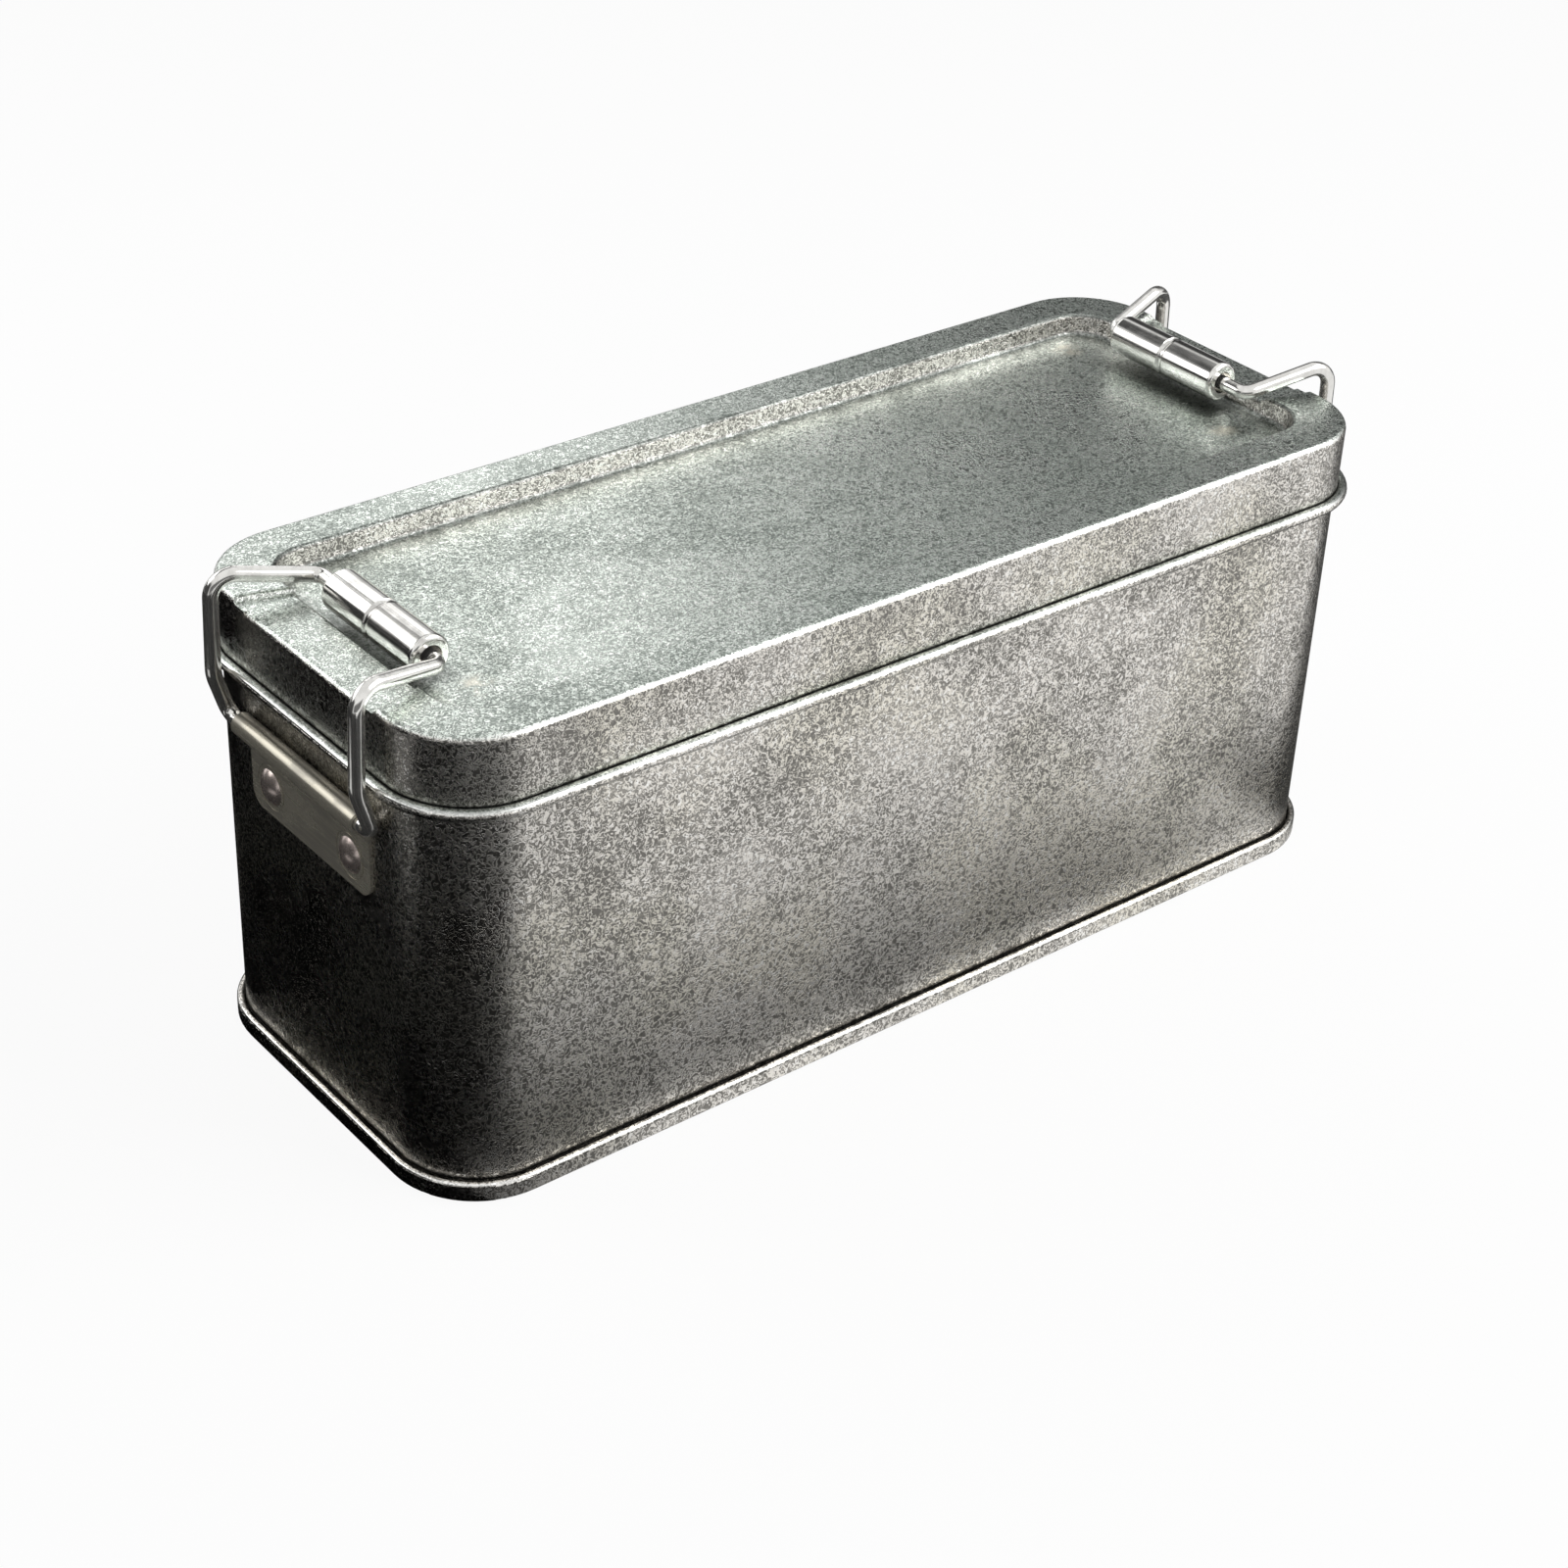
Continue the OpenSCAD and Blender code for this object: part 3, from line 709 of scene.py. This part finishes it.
def lay_floor(studio):
    """The pale floor, which keeps the shadow of the tin."""
    below_tin, paleness = 0.0001, 0.90
    floor = flat_sheet("studio_floor", studio.floor_size, studio.floor_size)
    floor.location.z = -below_tin
    material = bpy.data.materials.new("studio_floor")
    material.use_nodes = True
    tree = material.node_tree
    s = NodeBench(tree)
    shader = tree.nodes["Principled BSDF"]
    shader.inputs["Base Color"].default_value = (*studio.floor_colour, 1.0)
    shader.inputs["Roughness"].default_value = 1.0
    shader.inputs["Specular IOR Level"].default_value = 0.0
    pale = s.add("ShaderNodeEmission", {"Color": (1.0, 1.0, 1.0), "Strength": 1.0})
    mix = s.add("ShaderNodeMixShader", {
        0: s.calc("MULTIPLY", seen_as_background(s), paleness),
        1: shader.outputs[0], 2: pale.outputs[0]})
    s.put(mix.outputs[0], tree.nodes["Material Output"].inputs["Surface"])
    # Reflections find the floor themselves, so that the cards over it are not passed by
    material.cycles.emission_sampling = "NONE"
    floor.data.materials.append(material)


def light_world(studio):
    """Even pale surroundings, bright to look at and softer as a lamp."""
    world = bpy.data.worlds.new("studio_world")
    world.use_nodes = True
    bpy.context.scene.world = world
    s = NodeBench(world.node_tree)
    world.cycles.sampling_method = "NONE"
    background = world.node_tree.nodes["Background"]
    background.inputs["Color"].default_value = (1.0, 1.0, 1.0, 1.0)
    s.put(s.ease(seen_as_background(s), 0.0, 1.0, low=studio.ambient),
          background.inputs["Strength"])


def hang_softboxes(studio):
    """The lamps: a large one in front on the right, one behind, and a strip behind the
    left end."""
    softbox("key_softbox", azimuth=-44, elevation=42, reach=0.80,
            width=0.66, height=0.50, radiance=studio.key_radiance)
    softbox("back_softbox", azimuth=71, elevation=38, reach=0.80,
            width=0.40, height=0.36, radiance=studio.back_radiance)
    softbox("strip_softbox", azimuth=129, elevation=34, reach=0.50,
            width=0.38, height=0.20, radiance=studio.strip_radiance)


def lay_floor_cards():
    """The cards over the floor, which the wall and the wires mirror, lowest first."""
    # The left end, and the corner between it and the front
    lay_card("end_card", across=(-0.70, -0.060), along=(-0.037, 0.50),
             edges=(0.1, 0.001, 0.001, 0.1), strength=0.99, level=0.0002)
    lay_card("corner_card", across=(-0.60, -0.012), along=(-0.55, 0.30),
             edges=(0.1, 0.050, 0.1, 0.1), strength=0.98, level=0.0003, turn=-38)
    # The bend from that corner into the front, darkest in its middle
    lay_card("bend_card", across=(-0.30, -0.056), along=(-0.30, 0.02),
             edges=(0.1, 0.050, 0.1, 0.01), strength=0.60, level=0.00035, turn=25)
    lay_card("bend_core_card", across=(-0.30, -0.094), along=(-0.30, 0.02),
             edges=(0.1, 0.026, 0.1, 0.01), strength=0.93, level=0.00037, turn=25)
    # The foot of the front, and the corner at its right
    lay_card("foot_card", across=(-0.12, 0.125), along=(-0.108, -0.0405),
             edges=(0.02, 0.08, 0.066, 0.002), strength=0.82, level=0.0004)
    lay_card("far_card", across=(0.084, 0.60), along=(-0.076, 0.40),
             edges=(0.014, 0.1, 0.020, 0.1), strength=0.95, level=0.0005)
    # A pale one, for the light along the left clamp's wire
    lay_card("wire_card", across=(-0.236, -0.186), along=(-0.008, 0.075),
             edges=(0.01, 0.008, 0.012, 0.02), strength=0.8, level=0.0006, tone=0.8)


def stand_cards():
    """The cards that stand or hang round the tin, which the lid and the clamps mirror."""
    stand_card("lid_card", azimuth=25, reach=0.50, width=0.84, heights=(0.0, 0.52),
               edges=(0.28, 0.38, 0.16, 0.16), strength=0.95)
    stand_card("horizon_card", azimuth=66, reach=0.60, width=0.80, heights=(0.0, 0.17),
               edges=(0.15, 0.15, 0.001, 0.07), strength=0.80)
    stand_card("end_back_card", azimuth=155, reach=0.56, width=0.95, heights=(0.0, 0.42),
               edges=(0.15, 0.15, 0.001, 0.14), strength=0.97)
    stand_card("left_card", azimuth=-128, reach=0.62, width=1.0, heights=(0.0, 0.32),
               edges=(0.2, 0.15, 0.001, 0.1), strength=0.85)
    # Narrow ones, for the dark lines along the rollers
    for azimuth in (72, 82, 93, 105):
        stand_card("line_card", azimuth, reach=0.66, width=0.034, heights=(0.05, 0.90),
                   edges=(0.007, 0.007, 0.05, 0.05), strength=0.92)
    stand_card("right_end_card", azimuth=6, reach=0.62, width=0.50, heights=(0.0, 0.18),
               edges=(0.1, 0.1, 0.001, 0.08), strength=0.92)
    over_card = soft_card("over_card", width=1.10, height=0.20,
                          edges=(0.15, 0.15, 0.05, 0.05), strength=0.92)
    aim(over_card, on_sphere(azimuth=100, elevation=54, reach=0.72))


# ----------------------------------------------------------------- operators

class TIN_OT_stage(Operator):
    """Set up the camera, the floor, the lamps and the cards"""

    bl_idname = "tin.stage"
    bl_label = "Studio"

    def execute(self, context):
        studio = context.scene.tin.studio
        place_camera(studio)
        lay_floor(studio)
        light_world(studio)
        hang_softboxes(studio)
        lay_floor_cards()
        stand_cards()
        context.view_layer.update()
        context.scene.view_settings.view_transform = "Standard"
        return {"FINISHED"}


class TIN_OT_wall(Operator):
    """Give the wall its aged tinplate"""

    bl_idname = "tin.wall"
    bl_label = "Wall"

    def execute(self, context):
        dress(["body_wall"], tinplate_material(
            "wall_tinplate_aged", crease_level=SEAM_TOP, crease_height=0.0007))
        return {"FINISHED"}


class TIN_OT_base(Operator):
    """Give the base and its folded seam their tinplate"""

    bl_idname = "tin.base"
    bl_label = "Base"

    def execute(self, context):
        dress(["base_plate"], tinplate_material(
            "base_tinplate_aged", crease_level=0.0, crease_height=0.0006))
        return {"FINISHED"}


class TIN_OT_lid(Operator):
    """Give the lid its slightly greener tinplate"""

    bl_idname = "tin.lid"
    bl_label = "Lid"

    def execute(self, context):
        dress(["lid"], tinplate_material(
            "lid_tinplate_aged", crease_level=BEAD_CREASE, crease_height=0.0005,
            has_top=True))
        return {"FINISHED"}


class TIN_OT_hinge_plates(Operator):
    """Give the hinge plates their brushed steel"""

    bl_idname = "tin.hinge_plates"
    bl_label = "Hinge plates"

    def execute(self, context):
        finish = context.scene.tin.clamp
        dress(["left_hinge_plate", "right_hinge_plate"], polished_material(
            "plate_steel_brushed", finish.plate, finish.plate_dark, finish.plate_roughness,
            patch_size=0.005, dulling=0.6, lines=(300.0, 40.0, 1500.0), relief=0.000012,
            metallic=0.72))
        return {"FINISHED"}


class TIN_OT_clamp_wires(Operator):
    """Give the clamp wires their nickel"""

    bl_idname = "tin.clamp_wires"
    bl_label = "Clamp wires"

    def execute(self, context):
        finish = context.scene.tin.clamp
        dress(["left_bail", "right_bail"], polished_material(
            "clamp_wire_nickel", finish.wire, finish.wire_dark, finish.wire_roughness,
            patch_size=0.004, dulling=0.3, lines=(600.0, 600.0, 120.0), relief=0.00001,
            metallic=0.93))
        return {"FINISHED"}


class TIN_OT_rollers(Operator):
    """Give the rollers their drawn and polished nickel"""

    bl_idname = "tin.rollers"
    bl_label = "Rollers"

    def execute(self, context):
        finish = context.scene.tin.clamp
        dress(["left_roller", "right_roller"], polished_material(
            "roller_nickel", finish.wire, finish.wire_dark, finish.wire_roughness,
            patch_size=0.005, dulling=0.55, lines=(1100.0, 16.0, 1100.0), relief=0.000012))
        return {"FINISHED"}


class TIN_OT_rivets(Operator):
    """Give the rivets their warmer, duller heads"""

    bl_idname = "tin.rivets"
    bl_label = "Rivets"

    def execute(self, context):
        finish = context.scene.tin.clamp
        rivets = [f"{side}_{place}_rivet" for side in ("left", "right")
                  for place in ("front", "rear")]
        dress(rivets, polished_material(
            "rivet_steel_domed", finish.rivet, finish.rivet_dark, finish.plate_roughness,
            patch_size=0.003, dulling=0.25, lines=(500.0, 500.0, 500.0), relief=0.00001,
            metallic=0.92))
        return {"FINISHED"}


PIECES = (
    TIN_OT_wall, TIN_OT_base, TIN_OT_lid, TIN_OT_hinge_plates, TIN_OT_clamp_wires,
    TIN_OT_rollers, TIN_OT_rivets,
)


class TIN_PT_panel(Panel):
    """Lists the pieces of the tin and their settings"""

    bl_idname = "TIN_PT_panel"
    bl_label = "Clamp-lid tin"
    bl_space_type = "VIEW_3D"
    bl_region_type = "UI"
    bl_category = "Tin"

    def draw(self, context):
        layout = self.layout
        for operator in (*PIECES, TIN_OT_stage):
            layout.operator(operator.bl_idname)
        settings = context.scene.tin
        for group in (settings.tinplate, settings.clamp, settings.studio):
            box = layout.box()
            for name in group.__annotations__:
                box.prop(group, name)


CLASSES = (
    TinplateFinish, ClampFinish, StudioSettings, TinSettings, *PIECES, TIN_OT_stage,
    TIN_PT_panel,
)


def register():
    for cls in CLASSES:
        bpy.utils.register_class(cls)
    bpy.types.Scene.tin = PointerProperty(type=TinSettings)


def unregister():
    del bpy.types.Scene.tin
    for cls in reversed(CLASSES):
        bpy.utils.unregister_class(cls)


def main():
    register()
    bpy.ops.tin.wall()
    bpy.ops.tin.base()
    bpy.ops.tin.lid()
    bpy.ops.tin.hinge_plates()
    bpy.ops.tin.clamp_wires()
    bpy.ops.tin.rollers()
    bpy.ops.tin.rivets()
    bpy.ops.tin.stage()


if __name__ == "__main__":
    main()
